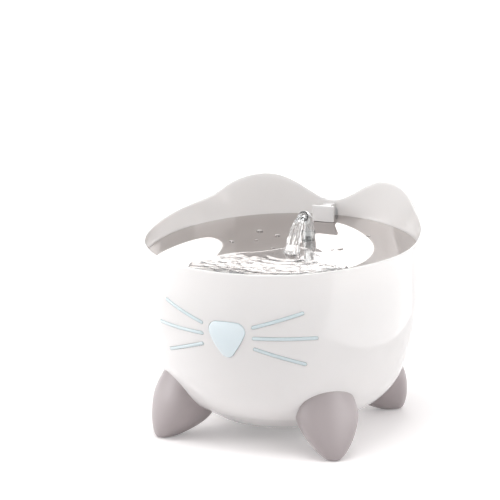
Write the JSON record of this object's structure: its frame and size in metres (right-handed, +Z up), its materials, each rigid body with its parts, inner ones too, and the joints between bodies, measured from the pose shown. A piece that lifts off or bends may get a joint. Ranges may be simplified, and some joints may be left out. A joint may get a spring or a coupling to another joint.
{
  "type": "pet water fountain",
  "caption": "Round cat-faced pet water fountain with ear-shaped rim and feet, tilted steel drinking dish, clear spout, filter cartridge and submerged pump.",
  "frame": {"origin": "on the floor, under the middle of the bowl", "axes": "+Z up; the face looks towards -Y; +X is to the right of someone facing the face"},
  "size_m": [0.244, 0.2443, 0.2035],
  "materials": {
    "bowl_white": "glossy moulded plastic",
    "foot_taupe": "satin moulded plastic",
    "pad_rubber": "matt rubber",
    "screw_steel": "zinc-plated steel",
    "lens_blue": "polished translucent plastic",
    "capsule_white": "moulded plastic",
    "seal_rubber": "soft silicone",
    "board_green": "lacquered circuit board",
    "lamp_white": "moulded resin",
    "dish_steel": "mirror-polished stainless steel",
    "clear_plastic": "clear moulded plastic",
    "cover_white": "glossy moulded plastic",
    "tray_grey": "moulded plastic",
    "fleece_white": "needled fibre fleece",
    "carbon_black": "carbon granules",
    "frame_white": "moulded plastic",
    "pump_black": "satin moulded plastic",
    "core_iron": "laminated iron",
    "winding_copper": "enamelled copper wire",
    "magnet_dark": "moulded ferrite",
    "impeller_white": "moulded plastic",
    "shaft_ceramic": "polished ceramic",
    "sponge_dark": "open-cell foam",
    "hose_clear": "translucent silicone"
  },
  "bodies": {
    "bowl": {"bowl_housing": "bowl_white", "cord_grommet": "seal_rubber", "front_right_foot": "foot_taupe", "rear_right_foot": "foot_taupe", "rear_left_foot": "foot_taupe", "front_left_foot": "foot_taupe", "front_right_foot_pad": "pad_rubber", "rear_right_foot_pad": "pad_rubber", "rear_left_foot_pad": "pad_rubber", "front_left_foot_pad": "pad_rubber", "foot_screws": "screw_steel", "nose_lens": "lens_blue", "right_upper_whisker": "lens_blue", "right_middle_whisker": "lens_blue", "right_lower_whisker": "lens_blue", "left_upper_whisker": "lens_blue", "left_middle_whisker": "lens_blue", "left_lower_whisker": "lens_blue", "light_housing": "capsule_white", "light_seal": "seal_rubber", "light_back_cover": "capsule_white", "light_board": "board_green", "nose_light": "lamp_white", "light_screws": "screw_steel"},
    "dish": {"drinking_dish": "dish_steel", "spout_collar": "clear_plastic"},
    "nozzle": {"spout_nozzle": "clear_plastic"},
    "duct_cover": {"cord_cover": "cover_white"},
    "cartridge": {"filter_frame": "frame_white", "filter_carbon": "carbon_black", "filter_fleece": "fleece_white"},
    "tray": {"filter_tray": "tray_grey"},
    "pump": {"pump_body": "pump_black", "pump_suction_cups": "pad_rubber", "motor_core": "core_iron", "motor_winding": "winding_copper", "motor_end_cap": "pump_black", "pump_cord_gland": "pump_black", "impeller_shaft": "shaft_ceramic", "rear_bush": "pad_rubber", "front_bush": "pad_rubber", "chamber_cover": "pump_black", "riser_hose": "hose_clear", "riser_pipe": "capsule_white"},
    "rotor": {"rotor_magnet": "magnet_dark", "impeller": "impeller_white"},
    "grille": {"intake_grille": "pump_black", "prefilter_sponge": "sponge_dark"},
    "slider": {"flow_slider": "pump_black"}
  },
  "joints": [
    {"name": "dish_lift", "type": "slide", "parent": "bowl", "child": "dish", "axis": [0, 0, 1], "range_m": [0, 0.3]},
    {"name": "cartridge_lift", "type": "slide", "parent": "bowl", "child": "cartridge", "axis": [0, 0, 1], "range_m": [0, 0.285]},
    {"name": "tray_lift", "type": "slide", "parent": "bowl", "child": "tray", "axis": [0, 0, 1], "range_m": [0, 0.255]},
    {"name": "pump_lift", "type": "slide", "parent": "bowl", "child": "pump", "axis": [0, 0, 1], "range_m": [0, 0.198]},
    {"name": "nozzle_pull", "type": "slide", "parent": "dish", "child": "nozzle", "axis": [0, 0, 1], "range_m": [0, 0.04]},
    {"name": "duct_cover_lift", "type": "slide", "parent": "dish", "child": "duct_cover", "axis": [0, 0, 1], "range_m": [0, 0.06]},
    {"name": "impeller_spin", "type": "hinge", "parent": "pump", "child": "rotor", "pos_m": [0, 0, 0.04], "axis": [0, 1, 0], "continuous": true},
    {"name": "grille_pull", "type": "slide", "parent": "pump", "child": "grille", "axis": [0, 1, 0], "range_m": [0, 0.02]},
    {"name": "flow_slide", "type": "slide", "parent": "grille", "child": "slider", "axis": [1, 0, 0], "range_m": [0, 0.009]}
  ],
  "couplings": [
    {"joint": "cartridge_lift", "follows": "dish_lift", "ratio": 0.95},
    {"joint": "tray_lift", "follows": "dish_lift", "ratio": 0.85},
    {"joint": "pump_lift", "follows": "dish_lift", "ratio": 0.66}
  ]
}
